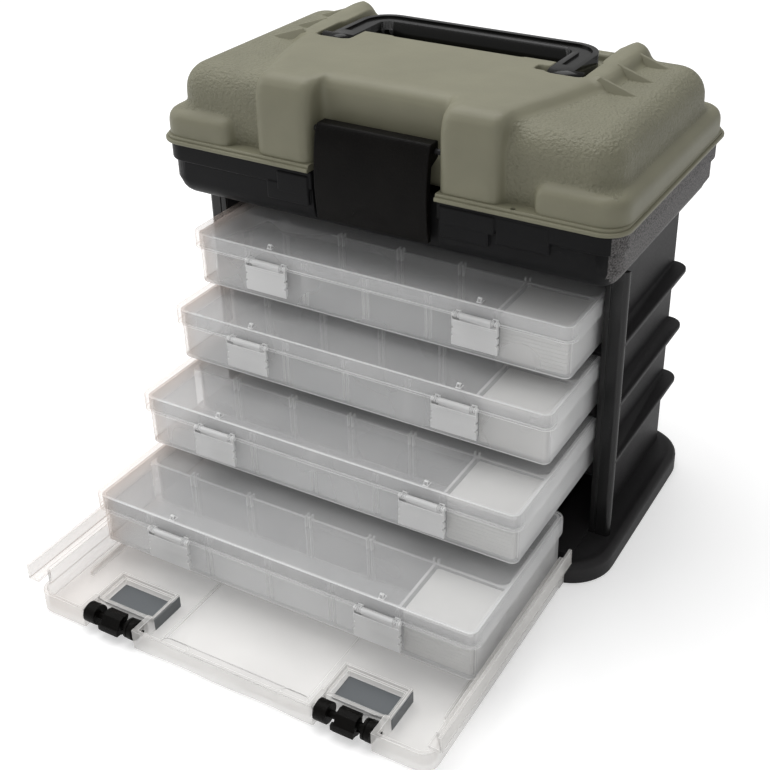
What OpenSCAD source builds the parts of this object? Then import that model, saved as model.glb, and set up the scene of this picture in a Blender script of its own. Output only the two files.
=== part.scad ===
// Fishing tackle cabinet: a moulded rack of four utility boxes on a wide foot,
// a lidded tub on top and a clear drop-down door in front.
// Millimetres, +Z up, the front faces -Y. Origin: centre of the underside of the foot.

/* [Utility boxes] */
// Width over the rim of a box lid
box_w = 232; // [200:1:260]
// Depth over the rim of a box lid
box_d = 105; // [90:1:125]
// Height of a closed box
box_h = 32.1; // [30:0.1:40]
// Thickness of the walls of a tray
box_wall = 1.5; // [1:0.1:2.5]
// Thickness of a box lid
box_lid_t = 1.8; // [1.2:0.1:2.6]
// Height of the rim that hangs from a box lid
box_rim_h = 10; // [7:0.5:13]
// How far the tray is set in from the outside of the rim
box_set_in = 2.6; // [2.6:0.1:5]
// Radius of the upright corners of a tray
box_corner = 4; // [3:0.5:12]
// Number of columns that the ribs mark out
box_cols = 6; // [3:1:8]
// Depth of the front row of compartments
front_row = 38; // [25:1:48]
// Thickness of a divider rib
rib_thick = 1.2; // [0.8:0.1:1.6]
// Gap between the two ribs that hold a divider
rib_slot = 2.4; // [1.8:0.1:3]
// Width of a box latch
box_latch_w = 26; // [16:1:36]
// Distance of a box latch from the middle
box_latch_x = 63.5; // [40:0.5:80]
// Thickness of a box latch
box_latch_t = 1.8; // [1.2:0.1:2.6]
// Thickness of a loose divider
divider_t = 2.1; // [1.5:0.1:3]
// How far the top box is pulled out
box_out_1 = 35; // [0:0.5:60]
// How far the second box is pulled out
box_out_2 = 57; // [0:0.5:80]
// How far the third box is pulled out
box_out_3 = 91; // [0:0.5:94]
// How far the bottom box is pulled out
box_out_4 = 135.5; // [110:0.5:138]

/* [Rack] */
// Running gap at each side of a box
side_gap = 1; // [0.5:0.1:2]
// Thickness of the side panels
side_wall = 2.4; // [2.4:0.1:5]
// Width of the front posts
post_w = 12; // [10:0.2:18]
// Depth of the front posts
post_d = 3.5; // [3:0.5:6]
// How far a runner reaches in under a box
runner_w = 9; // [6:0.5:14]
// Thickness of a runner
runner_t = 2.4; // [1.6:0.1:3.2]
// Free height between a box and the one above it
bay_gap = 5.8; // [5:0.2:12]
// Free height between the top box and the tub
bay_head = 17; // [8:0.5:30]
// Thickness of the back panel
back_wall = 2.4; // [1.6:0.1:4]
// Room between a closed box and the back panel
back_gap = 1.3; // [0.5:0.1:4]
// How far the outside ribs stand out from a side panel
belt_reach = 9.6; // [3:0.1:9.6]
// Thickness of the outside ribs
belt_t = 3; // [2:0.1:5]
// Spacing of the outside ribs
belt_pitch = 36.4; // [30:0.2:44]

/* [Foot] */
// Height of the foot
foot_h = 12.5; // [12:0.5:24]
// Thickness of the floor of the foot
foot_floor = 3.2; // [2:0.1:5]
// How far the foot stands out at each side of the posts
foot_side = 6.9; // [4:0.1:14]
// How far the foot stands out in front of the posts
foot_front = 35.5; // [34:0.1:42]
// How far the foot stands out behind the back panel
foot_rear = 6.3; // [0.5:0.1:10]
// Radius of the corners of the foot
foot_r = 26; // [20:1:30]
// Depth of the dish in the top of the foot
foot_dish = 0.6; // [0.3:0.1:2.5]

/* [Tub] */
// Height of the tub
tub_h = 31; // [26:0.5:50]
// Thickness of the tub
tub_wall = 2.5; // [1.8:0.1:4]
// Height of the plain band under the rim of the tub
tub_band_h = 10.5; // [6:0.5:14]
// Height of the lid flange
flange_t = 4; // [2.5:0.1:6]
// How far the lid flange stands out at each side of the posts
flange_side = 6.6; // [2:0.1:12]
// How far the lid flange stands out in front of the posts
flange_front = 31.8; // [24:0.2:34]
// How far the lid flange stands out behind the back panel
flange_rear = 24.7; // [20:0.1:45]
// Radius of the corners of the lid flange
flange_r = 14; // [12:1:32]
// How far the rim of the tub is set in under the lid flange
tub_set_in = 2; // [1.5:0.1:4]

/* [Lid] */
// Thickness of the lid
lid_wall = 2.5; // [1.8:0.1:3.5]
// Height of the side domes over the underside of the flange
dome_h = 41.7; // [36:0.1:60]
// How far the saddle stands over the domes
saddle_rise = 5.5; // [3:0.5:8]
// Width of the saddle in front
saddle_w = 142; // [120:1:170]
// Height of the bumper roll over the underside of the flange
bumper_h = 18; // [12:0.2:24]
// How far the ears beside the handle stand over the domes
ear_rise = 8.5; // [7:0.1:16]
// Radius of the hinge knuckles of the lid
knuckle_r = 4; // [3:0.1:5]
// Radius of the hinge pins of the lid
hinge_pin_r = 1.5; // [1:0.1:2]
// Play of every pin in its bore
pin_play = 0.06; // [0.02:0.01:0.09]

/* [Front latch] */
// Width of the latch plate
latch_w = 66; // [50:1:80]
// Height of the latch plate
latch_h = 51.8; // [46:0.1:56]
// Thickness of the latch plate
latch_t = 4; // [3:0.1:4.4]
// Width of the finger scoop in the latch
scoop_w = 26; // [16:1:40]

/* [Handle] */
// Width over the arms of the handle
handle_w = 156.4; // [130:0.2:164]
// Distance from the pivot of the handle to the back of its grip
handle_reach = 48; // [32:0.5:50]
// Thickness of the handle
handle_t = 10; // [8:0.2:12]
// Width of an arm and of the grip
handle_bar = 14; // [10:0.5:16]
// Radius of the pivots of the handle
handle_pin_r = 3; // [2:0.1:3.6]

/* [Door] */
// Thickness of the door
door_t = 2.4; // [1.6:0.1:3]
// Length of the door from its hinge end to its front wall
door_l = 145.6; // [140:0.1:165]
// Height of the side walls of the door
door_side_h = 26.5; // [22:0.5:27]
// Height of the front wall of the door
door_front_h = 12; // [10.5:0.5:13.5]
// Radius of the hinge pins of the door
door_pin_r = 1.6; // [1.2:0.1:1.8]
// Distance of a door latch from the middle
door_latch_x = 70; // [50:0.5:85]
// Length of a door latch
door_latch_w = 31; // [24:1:40]
// Radius of the barrel of a door latch
door_latch_r = 5.4; // [4.6:0.1:5.6]

/* [Hidden] */
$fn = 48;

// Small gap between a moving piece and what it lies on or beside
seat_gap = 0.3;
// Overlap that joins the shapes of one moulding
weld = 1;

// Rack: inside and outside faces, counted from the middle
rack_in = box_w / 2 + side_gap;
rack_out = rack_in + side_wall;
post_out = rack_in + post_w;
rack_depth = box_d + back_gap + back_wall;
foot_w = 2 * (post_out + foot_side);
foot_d = foot_front + rack_depth + foot_rear;
rack_front = foot_front - foot_d / 2;
rack_rear = rack_front + rack_depth;
foot_seat = foot_h - foot_dish;
panel_turn = 4.5;
panel_y1 = rack_rear - panel_turn;

// Boxes: tray undersides from the bottom bay up
first_tray_z = foot_floor + 9;
bay_pitch = box_h + bay_gap;
box_count = 4;
box_out = [box_out_1, box_out_2, box_out_3, box_out_4];
function tray_z(n) = first_tray_z + (box_count - n) * bay_pitch;
function box_front(n) = rack_front - box_out[n - 1];

// Tub and lid levels
tub_z0 = tray_z(1) + box_h + bay_head;
tub_z1 = tub_z0 + tub_h;
band_z0 = tub_z1 - tub_band_h;
lid_z0 = tub_z1 + seat_gap;
dome_z = lid_z0 + dome_h;
saddle_z = dome_z + saddle_rise;
flange_w = 2 * (post_out + flange_side);
flange_y0 = rack_front - flange_front;
flange_y1 = rack_rear + flange_rear;
tub_w = flange_w - 2 * tub_set_in;
tub_y0 = flange_y0 + tub_set_in + 1.2;
tub_y1 = flange_y1 - tub_set_in - 6;

// Underside of the outside rib k, counted from the top
function belt_z(k) = tub_z0 - 43.4 - k * belt_pitch;

// Flare of the tub below its band: side, front and rear
flare_side = 1.2;
flare_front = 8.5;
flare_rear = 14;
band_step = 1.5;
tub_floor_r = 10;

// Lid hinge: axis behind the flange
hinge_y = flange_y1 + knuckle_r + 0.5;
hinge_z = lid_z0;
hinge_x = 77;
knuckle_l = 10;
lid_knuckle_l = 13.4;

// Dome, saddle and bumper of the lid
dome_side = 8.3;
dome_front = 9.8;
dome_rear = 14.3;
dome_r = 15;
dome_soft = 12;
dome_w = flange_w - 2 * dome_side;
dome_y0 = flange_y0 + dome_front;
dome_y1 = flange_y1 - dome_rear;
bumper_in = 1.7;
bumper_gap_w = 172;

// Front latch: pivot of the plate in the recess of the lid
recess_w = latch_w + 8.2;
recess_y = flange_y0 + 17.8;
latch_top_z = lid_z0 + 27;
latch_pivot_y = flange_y0 + 10.3;
latch_pivot_z = latch_top_z - 5;
latch_pin_r = 1.5;
latch_bottom_z = latch_top_z - latch_h;
latch_back_y = flange_y0 + 4.6;
catch_y = flange_y0 + 7.4;

// Handle: well in the top of the lid
handle_gap = 0.6;
well_w = handle_w + 2 * handle_gap;
well_z = saddle_z - handle_t - 0.1;
handle_z = well_z + 0.4;
handle_pivot_y = flange_y0 + 84;
handle_pivot_z = handle_z + handle_t / 2;
grip_y1 = handle_pivot_y + handle_reach;
grip_y0 = grip_y1 - handle_bar;
handle_corner = 18;
ear_w = 16;
ear_y0 = handle_pivot_y - 7;
ear_y1 = grip_y1 + 12;

// Door: lies on the ground in front of the foot
door_pivot_y = rack_front - 28.8;
door_pivot_z = 4.2;
door_knuckle_r = door_pivot_z - 0.8;
door_y1 = rack_front - foot_front - 1;
door_y0 = door_y1 - door_l;
door_bay = box_w / 2 - box_set_in + 2;
door_lip = 7;
door_out = door_bay + door_lip;
door_ledge_z = door_side_h - 9.5;
door_notch_w = door_latch_w + 0.8;
door_notch_d = 12;
door_latch_y = door_y0 + 4.5;
door_latch_z = 8;
door_latch_pin_r = 2;
cheek_t = 3;
toe_x = door_bay + 2.3;

module block(lo, hi) {
    translate(lo) cube(hi - lo);
}

module rounded(w, d, r) {
    square([w - 2 * r, d], center = true);
    square([w, d - 2 * r], center = true);
    for (sx = [-1, 1], sy = [-1, 1])
        translate([sx * (w / 2 - r), sy * (d / 2 - r)]) circle(r);
}

module slab(w, y0, y1, z0, z1, r) {
    translate([0, (y0 + y1) / 2, z0]) linear_extrude(z1 - z0) rounded(w, y1 - y0, r);
}

// A slab whose top edge is rounded over by the radius soft, in flats
module crowned(w, y0, y1, z0, z1, r, soft, steps = 3) {
    hull() for (i = [0:steps]) {
        a = 90 * i / steps;
        in = soft * (1 - cos(a));
        top = z1 - soft + soft * sin(a);
        slab(w - 2 * in, y0 + in, y1 - in, i == 0 ? z0 : top - 0.1, top, max(r - in, 1), $fn = 24);
    }
}

// Draws a side profile (x = depth, y = height) and makes it w wide about the middle
module across(w) {
    rotate([90, 0, 90]) linear_extrude(w, center = true) children();
}

module x_rod(x0, x1, y, z, r) {
    translate([x0, y, z]) rotate([0, 90, 0]) cylinder(h = x1 - x0, r = r);
}

module both_sides() {
    children();
    mirror([1, 0, 0]) children();
}

// ---------------------------------------------------------------- foot and rack

screw_x = rack_in + 3.9;
screw_y = rack_front + 4.2;
screw_r = 1.6;
screw_head_r = 3;
screw_head_h = 1.8;
screw_l = 11;
screw_sink = 7;

module foot() {
    toe_y = rack_front - 24;
    tongue = 2 * (door_bay - 9 - 1);
    color("#2f2f33") difference() {
        slab(foot_w, -foot_d / 2, foot_d / 2, 0, foot_h, foot_r);
        // Dished top around the rack
        slab(foot_w - 8, 4 - foot_d / 2, foot_d / 2 - 4, foot_seat, foot_h + weld, foot_r - 4);
        block([-rack_out - 0.3, rack_rear - 12, foot_seat], [rack_out + 0.3, foot_d / 2 + weld, foot_h + weld]);
        // Bay of the bottom box, with a raised runner left at each side
        block([-tongue / 2 + 8, -foot_d, foot_floor], [tongue / 2 - 8, rack_rear - back_wall, foot_h + weld]);
        block([-rack_in, toe_y - weld, first_tray_z - seat_gap], [rack_in, rack_rear - back_wall, foot_h + weld]);
        block([-toe_x, -foot_d, first_tray_z - seat_gap], [toe_x, toe_y, foot_h + weld]);
        both_sides() {
            // Openings for the knuckles of the door
            block([tongue / 2, -foot_d, -weld], [toe_x, toe_y, foot_h + weld]);
            x_rod(toe_x - weld, toe_x + 6, door_pivot_y, door_pivot_z, door_pin_r);
            translate([screw_x, screw_y, -weld]) cylinder(h = screw_sink + weld, r = screw_head_r + 0.4);
            translate([screw_x, screw_y, 0]) cylinder(h = foot_h, r = screw_r + 0.3);
        }
    }
}

module side_panel() {
    post_r = 3;
    belt_r = 8;
    color("#38373a") difference() {
        union() {
            block([rack_in, rack_front + 2, foot_seat], [rack_out, panel_y1, tub_z0]);
            // Front post with a rounded front edge
            translate([0, 0, foot_seat]) linear_extrude(tub_z0 - foot_seat) {
                translate([rack_in, rack_front + post_r]) square([post_w, post_d - post_r]);
                translate([rack_in, rack_front]) square([post_w - post_r, post_d]);
                translate([post_out - post_r, rack_front + post_r]) circle(post_r);
            }
            // Column behind the post that takes the screws
            block([rack_in, rack_front + 1, foot_seat], [rack_in + 8, rack_front + 8.4, tub_z0]);
            // Runners under the three upper boxes
            for (n = [1:box_count - 1])
                block([rack_in - runner_w, rack_front + post_d / 2, tray_z(n) - seat_gap - runner_t],
                    [rack_in + weld, panel_y1, tray_z(n) - seat_gap]);
            // Outside ribs, rounded at the rear
            for (k = [0:2]) translate([0, 0, belt_z(k)]) linear_extrude(belt_t) {
                x0 = rack_out - weld;
                x1 = rack_out + belt_reach;
                y0 = rack_front + post_d - weld;
                intersection() {
                    translate([x0, y0]) square([x1 - x0, panel_y1 - y0]);
                    union() {
                        translate([x0, y0]) square([x1 - x0 - belt_r, panel_y1 - y0]);
                        translate([x0, y0]) square([x1 - x0, panel_y1 - y0 - belt_r]);
                        translate([x1 - belt_r, panel_y1 - belt_r]) circle(belt_r);
                    }
                }
            }
        }
        // Pilot holes for the screws, top and bottom of the post
        translate([screw_x, screw_y, foot_seat - weld]) cylinder(h = screw_l + weld, r = screw_r);
        translate([screw_x, screw_y, tub_z0 - screw_l]) cylinder(h = screw_l + weld, r = screw_r);
    }
}

module side_panel_right() {
    side_panel();
}

module side_panel_left() {
    mirror([1, 0, 0]) side_panel();
}

// Rear wall that turns forward at both ends, with three shallow ribs
module back_panel() {
    corner = panel_turn - 0.5;
    color("#38373a") difference() {
        union() {
            slab(2 * rack_out, rack_rear - 4 * panel_turn, rack_rear, foot_seat, tub_z0, corner);
            for (k = [0:2])
                block([6 - rack_out, rack_rear - weld, belt_z(k)], [rack_out - 6, rack_rear + 2.5, belt_z(k) + belt_t]);
        }
        slab(2 * rack_in, rack_rear - 5 * panel_turn, rack_rear - back_wall, 0, tub_z0 + weld, corner - back_wall);
        block([-foot_w, rack_rear - 6 * panel_turn, 0], [foot_w, panel_y1, tub_z0 + weld]);
    }
}

module screw(up) {
    // Head at z = 0, shank along +Z or -Z
    mirror([0, 0, up ? 0 : 1]) union() {
        translate([0, 0, -screw_head_h]) cylinder(h = screw_head_h, r = screw_head_r);
        translate([0, 0, -0.01]) cylinder(h = screw_l + (up ? foot_seat - screw_sink : tub_wall) - 1, r = screw_r);
    }
}

module rack_screws() {
    color("#9a9c9f") both_sides() {
        translate([screw_x, screw_y, screw_sink]) screw(true);
        translate([screw_x, screw_y, tub_z0 + tub_wall]) screw(false);
    }
}

// ---------------------------------------------------------------- tub

module tub() {
    catch_w = 56;
    pad_w = 2 * rack_in - 90;
    color("#2c2c30") difference() {
        union() {
            hull() {
                slab(tub_w - 2 * (band_step + flare_side), tub_y0 + band_step + flare_front,
                    tub_y1 - band_step - flare_rear, tub_z0, tub_z0 + 0.02, tub_floor_r);
                slab(tub_w - 2 * band_step, tub_y0 + band_step, tub_y1 - band_step,
                    band_z0 - 0.02, band_z0 + weld, flange_r - tub_set_in - band_step);
            }
            slab(tub_w, tub_y0, tub_y1, band_z0, tub_z1, flange_r - tub_set_in);
            // Pad that frames the latch
            block([-pad_w / 2, tub_y0 - 0.6, tub_z0 + 6], [pad_w / 2, tub_y0 + 20, tub_z1]);
            both_sides() for (s = [-1, 1])
                translate([hinge_x + s * (lid_knuckle_l + knuckle_l + 0.6) / 2, 0, 0]) {
                    x_rod(-knuckle_l / 2, knuckle_l / 2, hinge_y, hinge_z, knuckle_r);
                    block([-knuckle_l / 2, tub_y1 - weld, hinge_z - 7], [knuckle_l / 2, hinge_y, hinge_z - seat_gap]);
                }
        }
        difference() {
            hull() {
                slab(tub_w - 2 * (band_step + flare_side + tub_wall), tub_y0 + band_step + flare_front + tub_wall,
                    tub_y1 - band_step - flare_rear - tub_wall, tub_z0 + tub_wall, tub_z0 + tub_wall + 0.02,
                    tub_floor_r - tub_wall);
                slab(tub_w - 2 * (band_step + tub_wall), tub_y0 + band_step + tub_wall,
                    tub_y1 - band_step - tub_wall, band_z0 + weld, tub_z1 + weld,
                    flange_r - tub_set_in - band_step - tub_wall);
            }
            block([-recess_w / 2 - 2.5, tub_y0, tub_z0], [recess_w / 2 + 2.5, catch_y + 3, tub_z1 + 2 * weld]);
        }
        // Recess for the latch, with a bar left in it that the latch bears on
        difference() {
            block([-recess_w / 2, tub_y0 - 4, tub_z0], [recess_w / 2, catch_y, tub_z1 + weld]);
            block([-catch_w / 2, latch_back_y + 0.4, tub_z1 - 13.5], [catch_w / 2, catch_y + weld, tub_z1 - 10.5]);
        }
        both_sides() {
            x_rod(hinge_x - 20, hinge_x + 20, hinge_y, hinge_z, hinge_pin_r);
            translate([screw_x, screw_y, tub_z0 - weld]) cylinder(h = tub_wall + 2 * weld, r = screw_r + 0.3);
        }
    }
}

// ---------------------------------------------------------------- lid

module lid_outside() {
    slab(flange_w, flange_y0, flange_y1, lid_z0, lid_z0 + flange_t, flange_r);
    crowned(dome_w, dome_y0, dome_y1, lid_z0 + weld, dome_z, dome_r, dome_soft);
    difference() {
        crowned(flange_w - 2 * bumper_in, flange_y0 + 2.8, flange_y1 - 4.8, lid_z0 + weld,
            lid_z0 + bumper_h, flange_r - 1.4, 6);
        block([-bumper_gap_w / 2, flange_y0 - weld, lid_z0 + flange_t], [bumper_gap_w / 2, dome_y0 + 0.5, dome_z]);
    }
    // Saddle: straight in front, then spreading out to the ears
    crowned(saddle_w, flange_y0 + 2.3, saddle_rear + 3, lid_z0 + weld, saddle_z, 8, 4);
    hull() for (i = [0:2]) {
        in = [0, 1.2, 4][i];
        top = saddle_z - [4, 1.2, 0][i];
        spread = well_w / 2 + ear_w - 2 - in;
        translate([0, 0, dome_z - 8]) linear_extrude(top - dome_z + 8) polygon([
            [-saddle_w / 2 - 2 + in, dome_y0 + 20], [saddle_w / 2 + 2 - in, dome_y0 + 20], [spread, dome_y0 + 62],
            [spread, grip_y1 + 1], [-spread, grip_y1 + 1], [-spread, dome_y0 + 62]]);
    }
    both_sides() {
        ear();
        for (k = [0:2]) gusset(ear_y0 + 2.4 + k * 24);
    }
}

// Ridge beside the handle, rising to the rear
module ear() {
    ear_r = ear_w / 2 - 1;
    rise = ear_rise - saddle_rise;
    slope = atan2(rise, ear_y1 - ear_y0);
    x0 = well_w / 2;
    intersection() {
        translate([x0 + ear_w / 2, ear_y0, saddle_z - ear_r]) rotate([slope - 90, 0, 0])
            cylinder(h = (ear_y1 - ear_y0) / cos(slope) + 4, r = ear_r);
        block([x0, ear_y0, dome_z - 14], [x0 + ear_w, ear_y1, dome_z + ear_rise + 2]);
    }
    translate([x0 + 1.6, 0, 0]) rotate([90, 0, 90]) linear_extrude(ear_w - 3.2)
        polygon([[ear_y0 + 0.5, dome_z - 8], [ear_y1 - 0.5, dome_z - 8], [ear_y1 - 0.5, dome_z + ear_rise - ear_r],
            [ear_y0 + 0.5, saddle_z - ear_r]]);
}

// Triangular web from an ear down onto the dome
module gusset(y) {
    x0 = well_w / 2 + ear_w / 2;
    translate([0, y + 2, 0]) rotate([90, 0, 0]) linear_extrude(4)
        polygon([[x0, dome_z - 6], [x0, dome_z + ear_rise - 6], [x0 + 28, dome_z - 2], [x0 + 28, dome_z - 6]]);
}

module lid_inside() {
    difference() {
        union() {
            crowned(dome_w - 2 * lid_wall, dome_y0 + lid_wall, dome_y1 - lid_wall, lid_z0 - weld,
                dome_z - lid_wall, dome_r - lid_wall, dome_soft - lid_wall);
            crowned(saddle_w - 2 * lid_wall, flange_y0 + 2.3 + lid_wall, handle_pivot_y - 6, lid_z0 - weld,
                saddle_z - lid_wall, 6, 2);
        }
        // Walls round the latch recess, the handle well and the finger pocket
        block([-recess_w / 2 - lid_wall, flange_y0 - weld, lid_z0 - 2 * weld],
            [recess_w / 2 + lid_wall, recess_y + lid_wall, saddle_z]);
        block([-well_w / 2 - ear_w, handle_pivot_y - 10, well_z - lid_wall],
            [well_w / 2 + ear_w, ear_y1 + 1, saddle_z]);
        block([-finger_w / 2 - lid_wall, saddle_rear - lid_wall, finger_z - lid_wall],
            [finger_w / 2 + lid_wall, grip_y1 + 10 + lid_wall, saddle_z]);
    }
}

saddle_rear = handle_pivot_y + 13;
finger_w = handle_w - 2 * handle_bar - 14;
finger_z = well_z - 11;

module lid_shell() {
    // The bar of the handle lies in the well, its arms in the two slots beside the saddle
    arm_slot = handle_bar + 2 * handle_gap;
    color("#7d7b66") difference() {
        union() {
            difference() {
                lid_outside();
                lid_inside();
            }
            both_sides() {
                x_rod(hinge_x - lid_knuckle_l / 2, hinge_x + lid_knuckle_l / 2, hinge_y, hinge_z, knuckle_r);
                block([hinge_x - lid_knuckle_l / 2, flange_y1 - 6, hinge_z + 0.4],
                    [hinge_x + lid_knuckle_l / 2, hinge_y, hinge_z + knuckle_r - 0.6]);
            }
        }
        // Recess of the front latch, open to the front and below
        block([-recess_w / 2, flange_y0 - weld, lid_z0 - weld], [recess_w / 2, recess_y, saddle_z + weld]);
        // Well of the grip and slots of the arms
        block([-well_w / 2, saddle_rear, well_z], [well_w / 2, grip_y1 + 2.4, saddle_z + 20]);
        both_sides() block([well_w / 2 - arm_slot, handle_pivot_y - handle_t / 2 - 1.5, well_z],
            [well_w / 2, saddle_rear + weld, saddle_z + 20]);
        block([-well_w / 2, grip_y1, dome_z + 0.2], [well_w / 2, dome_y1 + weld, saddle_z + 20]);
        // Room for the fingers under the grip
        block([-finger_w / 2, saddle_rear, finger_z], [finger_w / 2, grip_y1 + 10, saddle_z + 20]);
        x_rod(-recess_w / 2 - lid_wall, recess_w / 2 + lid_wall, latch_pivot_y, latch_pivot_z, latch_pin_r);
        x_rod(-well_w / 2 - 6.2, well_w / 2 + 6.2, handle_pivot_y, handle_pivot_z, handle_pin_r + pin_play);
        both_sides() x_rod(hinge_x - 20, hinge_x + 20, hinge_y, hinge_z, hinge_pin_r + pin_play);
        // Hole in the flange for a padlock
        translate([saddle_w / 2 - 3.5, flange_y0 + 3.4, lid_z0 - weld]) cylinder(h = flange_t + 2 * weld, r = 1.4);
    }
}

module lid_hinge_pins() {
    color("#a7a9ac") both_sides()
        x_rod(hinge_x - lid_knuckle_l / 2 - knuckle_l, hinge_x + lid_knuckle_l / 2 + knuckle_l,
            hinge_y, hinge_z, hinge_pin_r);
}

module lid_latch() {
    front_y = flange_y0 + 6.8;
    low_y = flange_y0 + 2.3;
    belly_y = flange_y0 - 0.4;
    knee_z = latch_top_z - 12;
    belly_z = latch_top_z - 30;
    color("#1d1b1a") difference() {
        union() {
            across(latch_w) polygon([
                [front_y, latch_top_z], [front_y + 6, latch_top_z], [front_y + 6, latch_top_z - 9],
                [front_y + latch_t - 2, knee_z - 4], [belly_y + latch_t, belly_z], [low_y + latch_t - 1.6, latch_bottom_z],
                [low_y, latch_bottom_z], [belly_y, belly_z], [belly_y + 1.6, knee_z - 6], [front_y - 2.4, knee_z + 6]]);
            // Ribs down the back that bear on the bar of the tub
            for (x = [-22, 22])
                block([x - 1, low_y + 2, latch_bottom_z + 6], [x + 1, latch_back_y, knee_z - 4]);
        }
        x_rod(-latch_w, latch_w, latch_pivot_y, latch_pivot_z, latch_pin_r + pin_play);
        // Finger scoop in the lower edge
        translate([0, low_y - scoop_w / 2 + 1.6, latch_bottom_z - 2]) sphere(scoop_w / 2);
    }
}

module lid_latch_pin() {
    color("#a7a9ac") x_rod(-recess_w / 2 - lid_wall + 0.2, recess_w / 2 + lid_wall - 0.2,
        latch_pivot_y, latch_pivot_z, latch_pin_r);
}

module carry_handle() {
    inner_w = handle_w - 2 * handle_bar;
    pin_l = 5.6;
    color("#131313") difference() {
        union() {
            difference() {
                slab(handle_w, handle_pivot_y - 30, grip_y1, handle_z, handle_z + handle_t, handle_corner);
                slab(inner_w, handle_pivot_y - 50, grip_y0, handle_z - weld, handle_z + handle_t + weld,
                    handle_corner - handle_bar);
                block([-handle_w, handle_pivot_y - 60, handle_z - weld],
                    [handle_w, handle_pivot_y, handle_z + handle_t + weld]);
            }
            both_sides() x_rod(inner_w / 2, handle_w / 2, handle_pivot_y, handle_pivot_z, handle_t / 2);
            both_sides() x_rod(handle_w / 2 - 2, handle_w / 2 + pin_l, handle_pivot_y, handle_pivot_z, handle_pin_r);
        }
        // Channel in the underside of the grip
        block([-inner_w / 2, grip_y0 + 3, handle_z - weld], [inner_w / 2, grip_y1 - 3, handle_z + handle_t - 4]);
    }
}

// ---------------------------------------------------------------- door

module front_door() {
    wall_in = door_bay;
    wall_out = door_bay + 2;
    corner = 8;
    cheek_z = door_latch_z + 4;
    notch_x0 = door_latch_x - door_notch_w / 2;
    notch_x1 = door_latch_x + door_notch_w / 2;
    color([0.9, 0.89, 0.87, 0.55]) difference() {
        union() {
            slab(2 * wall_out, door_y0, door_y1 + 3 * corner, 0, door_t, corner);
            difference() {
                slab(2 * wall_out, door_y0, door_y1 + 3 * corner, 0, door_front_h, corner);
                slab(2 * wall_in, door_y0 + 2, door_y1 + 4 * corner, door_t, door_front_h + weld, corner - 2);
            }
            both_sides() {
                // Stepped side wall: low wall, ledge and outer lip
                block([wall_in, door_y0 + corner, 0], [wall_out, door_y1, door_ledge_z + 2]);
                block([wall_in, door_y0 + 0.6, door_front_h - 2], [wall_out, door_y1, door_ledge_z + 2]);
                block([wall_in, door_y0 + 0.6, door_ledge_z], [door_out, door_y1, door_ledge_z + 2]);
                block([door_out - 2, door_y0 + 0.6, door_ledge_z], [door_out, door_y1, door_side_h]);
                // Raised frame round the window behind the latch, and the cheeks that hold it
                block([notch_x0 - 3, door_y0 + door_notch_d, 0], [notch_x1 + 3, door_y0 + 34, 6.4]);
                for (x = [notch_x0 - cheek_t, notch_x1])
                    block([x, door_y0, 0], [x + cheek_t, door_y0 + door_notch_d + 1, cheek_z]);
                // Hinge knuckle
                x_rod(door_bay - 9, toe_x - 0.4, door_pivot_y, door_pivot_z, door_knuckle_r);
                block([door_bay - 9, door_y1 - 3, door_pivot_z - door_knuckle_r],
                    [toe_x - 0.4, door_pivot_y, door_pivot_z + door_knuckle_r - 0.5]);
            }
        }
        block([-door_out - weld, door_y1, -weld], [-toe_x + 0.4, 0, door_side_h + weld]);
        block([toe_x - 0.4, door_y1, -weld], [door_out + weld, 0, door_side_h + weld]);
        block([-door_bay + 9, door_y1, -weld], [door_bay - 9, 0, door_side_h]);
        block([-toe_x, door_pivot_y + door_knuckle_r, -weld], [toe_x, 0, door_side_h]);
        both_sides() {
            block([notch_x0, door_y0 - weld, -weld], [notch_x1, door_y0 + door_notch_d, door_side_h]);
            block([door_latch_x - 14, door_y0 + 19.5, -weld], [door_latch_x + 14, door_y0 + 30, door_side_h]);
            x_rod(notch_x0 - cheek_t - weld, notch_x1 + cheek_t + weld, door_latch_y, door_latch_z,
                door_latch_pin_r + pin_play);
            x_rod(door_bay - 12, toe_x + weld, door_pivot_y, door_pivot_z, door_pin_r + pin_play);
        }
        // Shallow recess in the middle of the panel
        block([-43, door_y0 + 8, door_t - 0.8], [43, door_y1 - 30, door_t + weld]);
    }
}

module door_hinge_pins() {
    color("#a7a9ac") both_sides()
        x_rod(door_bay - 9, toe_x + 6, door_pivot_y, door_pivot_z, door_pin_r);
}

module door_latch() {
    half = door_latch_w / 2;
    color("#151515") difference() {
        union() {
            x_rod(-half, half, door_latch_y, door_latch_z, door_latch_r);
            x_rod(-half - cheek_t, half + cheek_t, door_latch_y, door_latch_z, door_latch_pin_r);
            // Thumb tab
            block([-8, door_latch_y - door_latch_r - 1, door_latch_z - 4], [8, door_latch_y, door_latch_z + 1]);
        }
        // Waists beside the tab
        for (x = [-9.5, 9.5])
            block([x - 1.5, door_latch_y - 9, door_latch_z + 2], [x + 1.5, door_latch_y + 9, door_latch_z + 9]);
    }
}

module door_latch_right() {
    translate([door_latch_x, 0, 0]) door_latch();
}

module door_latch_left() {
    translate([-door_latch_x, 0, 0]) door_latch();
}

// ---------------------------------------------------------------- utility boxes

tray_w = box_w - 2 * box_set_in;
tray_h = box_h - box_lid_t - seat_gap;
col_w = (tray_w - 2 * box_wall) / box_cols;
row_wall_h = tray_h - 3;

// Divider rib pairs stand at the column lines, on the front wall and on both sides of the row wall
module rib_pair(x, y0, y1, h) {
    for (s = [-1, 1])
        block([x + s * (rib_slot + rib_thick) / 2 - rib_thick / 2, y0, box_wall / 2],
            [x + s * (rib_slot + rib_thick) / 2 + rib_thick / 2, y1, h]);
}

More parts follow.
